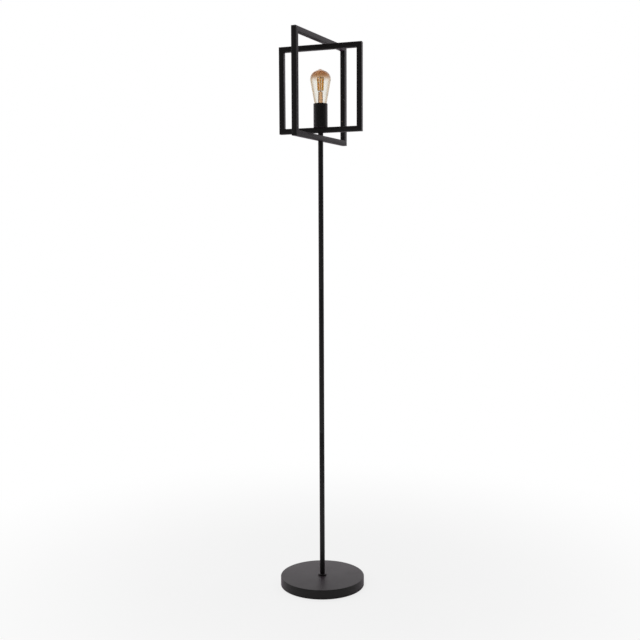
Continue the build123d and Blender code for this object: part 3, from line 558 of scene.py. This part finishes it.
# Cord gland: snap ring and neck in the wall, then a flange and a spout with three grip grooves
SNAP_LEAD_IN = 5.2
SNAP_RING = 5.6
SNAP_LENGTH = 1.6
FLANGE_RADIUS = 6.5
FLANGE_THICKNESS = 2.4
SPOUT_RADIUS = 4.2
GROOVE_COUNT = 3
GROOVE_PITCH = 1.3
GROOVE_DEPTH = 0.35
GROOVE_WIDTH = 0.9
GROOVE_SLOPE = 0.25
flange_face = BASE_RADIUS + GLAND_PLAY
flange_end = flange_face + FLANGE_THICKNESS
gland_outline = [
    (GLAND_BORE, gland_low.y, 0),
    (SNAP_LEAD_IN, gland_low.y, 0),
    (SNAP_RING, gland_low.y + SNAP_LENGTH, 0.2),
    (GLAND_NECK, gland_low.y + SNAP_LENGTH, 0),
    (GLAND_NECK, flange_face, 0),
    (FLANGE_RADIUS, flange_face, 0.2),
    (FLANGE_RADIUS, flange_end, 0.5),
    (SPOUT_RADIUS, flange_end, 0.2),
]
groove_profile = (
    (0, 0),
    (GROOVE_SLOPE, GROOVE_DEPTH),
    (GROOVE_WIDTH - GROOVE_SLOPE, GROOVE_DEPTH),
    (GROOVE_WIDTH, 0),
)
for groove in range(GROOVE_COUNT):
    start = flange_end + GROOVE_WIDTH + groove * GROOVE_PITCH
    gland_outline += [(SPOUT_RADIUS - drop, start + offset, 0.08) for offset, drop in groove_profile]
gland_outline += [(SPOUT_RADIUS, gland_high.y, 0.45), (GLAND_BORE, gland_high.y, 0.3)]
gland = turned(rounded(gland_outline, step=20), segments=64)
laid_along_y = Matrix.Translation((0, 0, GLAND_HEIGHT * MM)) @ Matrix.Rotation(-pi / 2, 4, "X")
bmesh.ops.transform(gland, matrix=laid_along_y, verts=gland.verts)
piece("snap_in_cord_gland", gland, "cord_gland")

# ---------------------------------------------------------------- pole
SEAM_ROUND = 0.4
POLE_BORE = 6.5


def pole_tube(node, bore):
    """A round tube on the pole's axis with softened ends, over the height of its node."""
    low, high = extent(node)
    corners = [(bore, low.z, 0), (high.x, low.z, SEAM_ROUND), (high.x, high.z, SEAM_ROUND), (bore, high.z, 0)]
    outline = rounded(corners, step=30)
    piece(f"{node}_tube", turned(outline, segments=72), node)


for section in ("pole_lower", "pole_middle", "pole_upper"):
    pole_tube(section, POLE_BORE)
pole_tube("frame_spacer", SCREW_HOLE)

# ---------------------------------------------------------------- cage
TUBE_SIDE = 15.0
TUBE_WALL = 1.2
TUBE_CORNER = 1.0
BORE_CORNER = 0.5
MITRE_GROOVE = 0.3  # bevel round each mitre, which the weld fills
WELD_FILL = 0.88  # of the groove
WELD_UNEVENNESS = 0.1
WELD_STEP = 0.8
RUNNING_HOLE = 5.06  # radius of the hole in a bottom rail that turns on the screwed tube
# Each frame's width, and its direction in degrees from +X
FRAMES = {"outer_frame": (310.0, 61.7), "inner_frame": (250.0, -18.3)}


def square_ring(half, corner, steps=3):
    """Points (inward, outward) round a square section with rounded corners."""
    ring = []
    for quarter in range(4):
        centre = Vector((1, 1)) * (half - corner)
        turns = [pi / 2 * k / steps for k in range(steps + 1)]
        for point in [centre + corner * Vector((cos(turn), sin(turn))) for turn in turns]:
            point.rotate(Matrix.Rotation(quarter * pi / 2, 2))
            ring.append(point)
    return ring


def frame_sides(name):
    """Each side of a frame with its outer length and the place of its own axes: along, inward and
    outward."""
    bottom = extent(f"{name}_bottom_rail")[0].z
    top = extent(f"{name}_top_rail")[1].z
    width, direction = FRAMES[name]
    height = top - bottom
    middle = Vector((0, 0, (top + bottom) / 2))
    along = Vector((cos(radians(direction)), sin(radians(direction)), 0))
    up = Vector((0, 0, 1))
    for member, length, reach, run, inward in (
        ("bottom_rail", width, height, along, up),
        ("right_post", height, width, up, -along),
        ("top_rail", width, height, -along, -up),
        ("left_post", height, width, -up, along),
    ):
        axes = Matrix((run, inward, run.cross(inward))).transposed().to_4x4()
        centre = middle - inward * (reach - TUBE_SIDE) / 2
        yield f"{name}_{member}", length, Matrix.Translation(centre * MM) @ axes


def mitred_tube(length):
    """A square tube along X, cut at 45 degrees at both ends, with a small bevel round each cut."""
    half = TUBE_SIDE / 2
    bore = square_ring(half - TUBE_WALL, BORE_CORNER)
    lip = square_ring(half - MITRE_GROOVE, TUBE_CORNER - MITRE_GROOVE)
    face = square_ring(half, TUBE_CORNER)
    mesh = bmesh.new()
    rings = []
    for section, back, end in (
        (bore, 0, -1),
        (lip, 0, -1),
        (face, MITRE_GROOVE, -1),
        (face, MITRE_GROOVE, 1),
        (lip, 0, 1),
        (bore, 0, 1),
    ):
        reach = length / 2 - half - back
        rings.append([mesh.verts.new(Vector((end * (reach - p.x), p.x, p.y)) * MM) for p in section])
    for low, high in zip(rings, rings[1:] + rings[:1]):
        joined(mesh, low, high)
    return mesh


def mitre_weld(length):
    """The weld that fills the groove round the mitre at a side's far end, dressed flush but not quite
    even."""
    half = TUBE_SIDE / 2
    corners = square_ring(half - MITRE_GROOVE, TUBE_CORNER - MITRE_GROOVE)
    path = []
    for start, end in zip(corners, corners[1:] + corners[:1]):
        count = max(1, round((end - start).length / WELD_STEP))
        path += [start.lerp(end, k / count) for k in range(count)]
    mesh = bmesh.new()
    rings = []
    across = Vector((1, 1, 0)).normalized()
    for point in path:
        middle = Vector((length / 2 - half - point.x, point.x, point.y))
        outward = Vector((-point.x, point.x, point.y)).normalized()
        radius = MITRE_GROOVE * (WELD_FILL + WELD_UNEVENNESS * noise.noise(middle * 0.9))
        turns = [pi / 4 * k for k in range(8)]
        spots = [middle + radius * (cos(turn) * outward + sin(turn) * across) for turn in turns]
        rings.append([mesh.verts.new(spot * MM) for spot in spots])
    for low, high in zip(rings, rings[1:] + rings[:1]):
        joined(mesh, low, high)
    return mesh


for name in FRAMES:
    for node, length, place in frame_sides(name):
        rail, weld = mitred_tube(length), mitre_weld(length)
        for mesh in (rail, weld):
            bmesh.ops.transform(mesh, matrix=place, verts=mesh.verts)
        turns_on_tube = node.endswith("bottom_rail")
        hole = (place.translation / MM, (0, 0, 1), RUNNING_HOLE, 2 * TUBE_SIDE)
        piece(f"{node}_tube", rail, node, holes=[hole] if turns_on_tube else ())
        piece(f"{node}_corner_weld", weld, node, slot="powder_coat")

# ---------------------------------------------------------------- lampholder
CUP_WALL = 1.0
CUP_FLOOR = 1.5
cup_low, cup_high = extent("holder_cup")
cup_outline = rounded(
    [
        (SCREW_HOLE, cup_low.z, 0),
        (cup_high.x, cup_low.z, 1.2),
        (cup_high.x, cup_high.z, 0.55),
        (cup_high.x - CUP_WALL, cup_high.z, 0.3),
        (cup_high.x - CUP_WALL, cup_low.z + CUP_FLOOR, 0.6),
        (SCREW_HOLE, cup_low.z + CUP_FLOOR, 0),
    ]
)
piece("spun_holder_cup", turned(cup_outline, segments=128), "holder_cup")

# ---------------------------------------------------------------- bulb
GLASS_WALL = 0.8
NECK_RADIUS = 12.5
NECK_HEIGHT = 29.0
WAIST_RADIUS = 18.6
WAIST_HEIGHT = 47.0
SHOULDER_RADIUS = 33.1  # before its corner is rounded, which leaves the widest place near 30
SHOULDER_HEIGHT = 124.6
TIP_RADIUS = 1.5
contact_low, contact_high = extent("cap_contact")
cap_low, cap_high = extent("bulb_cap")
glass_low, glass_high = extent("bulb_glass")
bulb_foot = contact_low.z  # heights in the bulb are counted from its contact

envelope = rounded(
    [
        (0, glass_high.z, 0),
        (TIP_RADIUS, glass_high.z, 4),
        (SHOULDER_RADIUS, bulb_foot + SHOULDER_HEIGHT, 25),
        (WAIST_RADIUS, bulb_foot + WAIST_HEIGHT, 18),
        (NECK_RADIUS, bulb_foot + NECK_HEIGHT, 4.5),
        (NECK_RADIUS, glass_low.z, 0),
    ],
    step=4,
)
inside = []
for before, point, after in zip(envelope, envelope[1:], envelope[2:]):
    run = (after - before).normalized()
    inside.append(point + GLASS_WALL * Vector((run.y, -run.x)))
inside.insert(0, Vector((0, glass_high.z - GLASS_WALL)))
inside.append(Vector((NECK_RADIUS - GLASS_WALL, glass_low.z)))
piece("blown_glass_envelope", turned(envelope + inside[::-1], segments=128), "bulb_glass")

# Screw cap with a rolled right-hand thread
THREAD_PITCH = 3.63
THREAD_CREST = 13.1
THREAD_ROOT = 12.3
THREAD_FADE = 1.2  # height over which the thread rises out of the plain wall
THREAD_STOP = 0.8  # plain wall between the thread and the skirt
THREAD_ROWS = 64
CAP_WALL = 0.4
CAP_PLAY = 0.1  # between the cap and what sits in it
SKIRT_HEIGHT = 6.5
SKIRT_STEP = 0.6
skirt_radius = NECK_RADIUS + CAP_PLAY + CAP_WALL
skirt_low = cap_high.z - SKIRT_HEIGHT
thread_top = skirt_low - THREAD_STOP


def rolled_thread(radius, height, angle):
    """The cap's radius at a height and an angle."""
    fade = min(1, (height - cap_low.z) / THREAD_FADE, (thread_top - height) / THREAD_FADE)
    turns = (height - cap_low.z) / THREAD_PITCH - angle / (2 * pi)
    return radius + max(fade, 0) * (THREAD_CREST - THREAD_ROOT) * (0.5 - 0.5 * cos(2 * pi * turns))


row_step = (thread_top - cap_low.z) / THREAD_ROWS
thread_rows = [Vector((THREAD_ROOT, cap_low.z + row_step * k)) for k in range(THREAD_ROWS + 1)]
skirt = rounded(
    [
        (THREAD_ROOT, skirt_low - SKIRT_STEP, 0),
        (skirt_radius, skirt_low, 0.2),
        (skirt_radius, cap_high.z, 0.15),
        (skirt_radius - CAP_WALL, cap_high.z, 0),
        (skirt_radius - CAP_WALL, skirt_low, 0.1),
        (THREAD_ROOT - CAP_WALL, skirt_low - SKIRT_STEP, 0),
    ]
)
thread_inside = [row - Vector((CAP_WALL, 0)) for row in reversed(thread_rows)]
piece("rolled_screw_cap", turned(thread_rows + skirt + thread_inside, swell=rolled_thread), "bulb_cap")

insulator_low, insulator_high = extent("cap_insulator")
INSULATOR_FOOT = 6.0
plug_radius = THREAD_ROOT - CAP_WALL - CAP_PLAY
insulator_outline = rounded(
    [
        (0, insulator_low.z, 0),
        (INSULATOR_FOOT, insulator_low.z, 0.5),
        (THREAD_ROOT - 0.1, cap_low.z, 0.3),
        (plug_radius, cap_low.z + 0.1, 0),
        (plug_radius, insulator_high.z, 0),
        (0, insulator_high.z, 0),
    ]
)
piece("vitrite_insulator", turned(insulator_outline, segments=72), "cap_insulator")

contact_outline = rounded(
    [
        (0, contact_low.z, 0),
        (contact_high.x * 0.7, contact_low.z, 2.0),
        (contact_high.x, contact_low.z + 1.0, 0.3),
        (contact_high.x, contact_high.z, 0),
        (0, contact_high.z, 0),
    ]
)
piece("solder_contact", turned(contact_outline, segments=64), "cap_contact")

# Stem: flared glass, melted solid above the cup and pinched flat at its top, and the rod for the filaments
STEM_WALL = 0.9
STEM_TUBE = 7.0
STEM_TAPER = 0.4
STEM_ROD = 1.8
STEM_HEIGHT = 75.5
FLARE_HEIGHT = 8.0
HOLLOW_TOP = 8.0  # over the flare
PINCH_HEIGHT = 9.0
PINCH_RUN = 6.0  # height over which the stem goes from round to flat
PINCH_DEPTH = 2.3  # half of the flat's thickness
stem_low, stem_high = extent("bulb_stem")
stem_top = bulb_foot + STEM_HEIGHT
flare_top = stem_low.z + FLARE_HEIGHT


def pinched_flat(radius, height, angle):
    """The stem's radius. The pinch goes flat from front to back and keeps its width."""
    share = min(max((height - stem_top + PINCH_HEIGHT + PINCH_RUN) / PINCH_RUN, 0), 1)
    depth = min(radius, radius + (PINCH_DEPTH - radius) * share * share * (3 - 2 * share))
    return radius * depth / sqrt((depth * cos(angle)) ** 2 + (radius * sin(angle)) ** 2)


stem_outline = rounded(
    [
        (0, flare_top + HOLLOW_TOP, 0),
        (STEM_TUBE - STEM_TAPER - STEM_WALL, flare_top + HOLLOW_TOP / 2, 3),
        (STEM_TUBE - STEM_WALL, flare_top, 6),
        (stem_high.x - STEM_WALL - 0.5, stem_low.z, 0),
        (stem_high.x, stem_low.z, 0),
        (stem_high.x, stem_low.z + STEM_WALL, 0.4),
        (STEM_TUBE, flare_top, 6),
        (STEM_TUBE - STEM_TAPER, stem_top - 1.5, 1.2),
        (STEM_ROD, stem_top, 0.8),
        (STEM_ROD, stem_high.z, 0.9),
        (0, stem_high.z, 0),
    ],
    step=8,
)
piece("flared_glass_stem", turned(stem_outline, segments=64, swell=pinched_flat), "bulb_stem")

# Filament sticks, dipped except for a flat nickel tab at each end
STICK_COUNT = 8
FIRST_STICK = 11.25  # degrees
STICK_LENGTH = 38.0
STICK_RADIUS = 1.3
STICK_FOOT = 77.5
COATING_INSET = 0.6  # bare tab beyond the coating at each end
COATING_LUMPS = 0.05  # share of its radius by which the coating swells and shrinks round its mean
COATING_STEPS = 40
TAB_LENGTH = 2.4
TAB_WIDTH = 1.3
TAB_THICKNESS = 0.25
RING_BOTTOM = 7.6
RING_TOP = 9.4
RING_PLAY = 0.05  # between the rod and the wire round it
RING_STEPS = 32
stick_low = bulb_foot + STICK_FOOT
stick_high = stick_low + STICK_LENGTH
WIRE = 0.38  # radius of the support wires
LEAD_GAP = 0.06 + WIRE  # a stick's end to the middle of the wire that carries it

coating, tabs, wires = bmesh.new(), bmesh.new(), bmesh.new()
for stick in range(STICK_COUNT):
    turn = radians(FIRST_STICK + 360 / STICK_COUNT * stick)
    outward, up = Vector((cos(turn), sin(turn), 0)), Vector((0, 0, 1))
    foot = outward * RING_BOTTOM + up * stick_low
    head = outward * RING_TOP + up * stick_high
    run = (head - foot).normalized()
    reach = (head - foot).length / 2 - COATING_INSET
    path, radii = [], []
    for k in range(COATING_STEPS + 1):
        offset = reach * (2 * k / COATING_STEPS - 1)
        past_straight = max(0, abs(offset) - (reach - STICK_RADIUS)) / STICK_RADIUS
        spot = (foot + head) / 2 + run * offset
        path.append(spot)
        lump = 1 + COATING_LUMPS * (noise.noise(spot * 0.5) - 1)
        radii.append(STICK_RADIUS * lump * sqrt(max(0.04, 1 - past_straight**2)))
    tube_along(coating, path, radii, sides=14)
    side = run.cross(outward).normalized()
    axes = Matrix((run, side, run.cross(side))).transposed().to_4x4()
    for end, way in ((foot, 1), (head, -1)):
        middle = end + run * way * TAB_LENGTH / 2
        flat = Matrix.Diagonal((TAB_LENGTH, TAB_WIDTH, TAB_THICKNESS, 1))
        laid = Matrix.Scale(MM, 4) @ Matrix.Translation(middle) @ axes @ flat
        bmesh.ops.create_cube(tabs, matrix=laid)
        level_height = end.z - way * LEAD_GAP
        start = outward * (STEM_ROD + WIRE) + up * level_height
        stop = outward * end.xy.length + up * level_height
        tube_along(wires, [start.lerp(stop, k / 4) for k in range(5)], [WIRE] * 5)
bmesh.ops.bevel(tabs, geom=tabs.edges[:], offset=0.06 * MM, segments=1, affect="EDGES")
# A ring of wire round the rod joins the leads of each end
for level_height in (stick_high + LEAD_GAP, stick_low - LEAD_GAP):
    radius = STEM_ROD + RING_PLAY + WIRE
    turns = [2 * pi * k / RING_STEPS for k in range(RING_STEPS + 1)]
    ring = [Vector((radius * cos(t), radius * sin(t), level_height)) for t in turns]
    tube_along(wires, ring, [WIRE] * len(ring))
piece("dipped_filament_sticks", coating, "filaments")
piece("filament_end_tabs", tabs, "filaments", slot="nickel_wire")
piece("filament_support_wires", wires, "support_wires")


# ---------------------------------------------------------------- floor and light
def pale_floor():
    """A matt white paper sheet under the lamp. To the eye it pales into the white background from 0.2 m
    away from the pole, and is all white from 1.6 m on, so that the lamp's shadow stays faint and ends
    softly."""
    material, tree, place = new_material("pale_studio_floor")
    shades = add(tree, "ShaderNodeTexNoise", sized(place, 300.0)).outputs[0]
    papers = {SHARE: shades, FIRST: colour("#f0f0f0"), SECOND: colour("#f6f6f6")}
    paper = add(tree, "ShaderNodeMix", papers, data_type="RGBA").outputs[BLENDED]
    matt = add(tree, "ShaderNodeBsdfDiffuse", {"Color": paper}).outputs[0]
    white = add(tree, "ShaderNodeEmission").outputs[0]
    away = add(tree, "ShaderNodeVectorMath", [place], operation="LENGTH").outputs["Value"]
    pale = add(tree, "ShaderNodeMapRange", [away, 0.2, 1.6, 0.75, 1.0], **SMOOTH).outputs[0]
    ray = add(tree, "ShaderNodeLightPath").outputs["Is Camera Ray"]
    share = add(tree, "ShaderNodeMath", [ray, pale], operation="MULTIPLY").outputs[0]
    surface = add(tree, "ShaderNodeMixShader", [share, matt, white]).outputs[0]
    add(tree, "ShaderNodeOutputMaterial", {"Surface": surface})
    return material


sheet = bmesh.new()
bmesh.ops.create_grid(sheet, size=20.0)
studio_floor = linked("studio_floor", sheet)
studio_floor.data.materials.append(pale_floor())

# White walls behind and beside the lamp, which darken overhead and towards the viewer. The eye sees plain
# white, and so it does in gloss and through glass, except where these turn the view towards the dim side.
world = bpy.data.worlds.new("studio")
bpy.context.scene.world = world
world.use_nodes = True
studio = world.node_tree
studio.nodes.clear()
way = add(studio, "ShaderNodeSeparateXYZ", [add(studio, "ShaderNodeTexCoord").outputs["Generated"]])
depth = add(studio, "ShaderNodeMapRange", [way.outputs[1], -0.75, 0.45, 0.1, 1.0], **SMOOTH)
rise = add(studio, "ShaderNodeMapRange", [way.outputs[2], 0.1, 0.36, 1.0, 0.45], **SMOOTH)
ahead = add(studio, "ShaderNodeMapRange", [way.outputs[1], 0.1, 0.6, 0.0, 1.0], **SMOOTH)
walls = add(studio, "ShaderNodeMath", [depth.outputs[0], rise.outputs[0]], operation="MULTIPLY")
rays = add(studio, "ShaderNodeLightPath")
mirrored_or_through = [rays.outputs["Is Transmission Ray"], rays.outputs["Is Glossy Ray"]]
turned_view = add(studio, "ShaderNodeMath", mirrored_or_through, operation="MAXIMUM")
turned_ahead = add(studio, "ShaderNodeMath", [turned_view.outputs[0], ahead.outputs[0]], operation="MULTIPLY")
sees_white = [rays.outputs["Is Camera Ray"], turned_ahead.outputs[0]]
seen = add(studio, "ShaderNodeMath", sees_white, operation="MAXIMUM")
strength = add(studio, "ShaderNodeMix", {0: seen.outputs[0], 2: walls.outputs[0], 3: 1.0}).outputs[0]
background = add(studio, "ShaderNodeBackground", {"Color": colour("#ffffff"), "Strength": strength})
add(studio, "ShaderNodeOutputWorld", {"Surface": background.outputs[0]})


def softbox(name, place, size, power):
    """A square lamp that faces the middle of the pole and stays out of reflections."""
    data = bpy.data.lights.new(name, "AREA")
    data.shape = "SQUARE"
    data.size = size
    data.energy = power
    lamp = bpy.data.objects.new(name, data)
    bpy.context.scene.collection.objects.link(lamp)
    lamp.location = place
    lamp.rotation_euler = (Vector((0, 0, 0.9)) - Vector(place)).to_track_quat("-Z", "Y").to_euler()
    lamp.visible_glossy = False


softbox("overhead_softbox", (-0.3, 0.2, 3.4), 1.8, 34)
softbox("front_softbox", (-1.2, -3.0, 1.9), 2.0, 26)
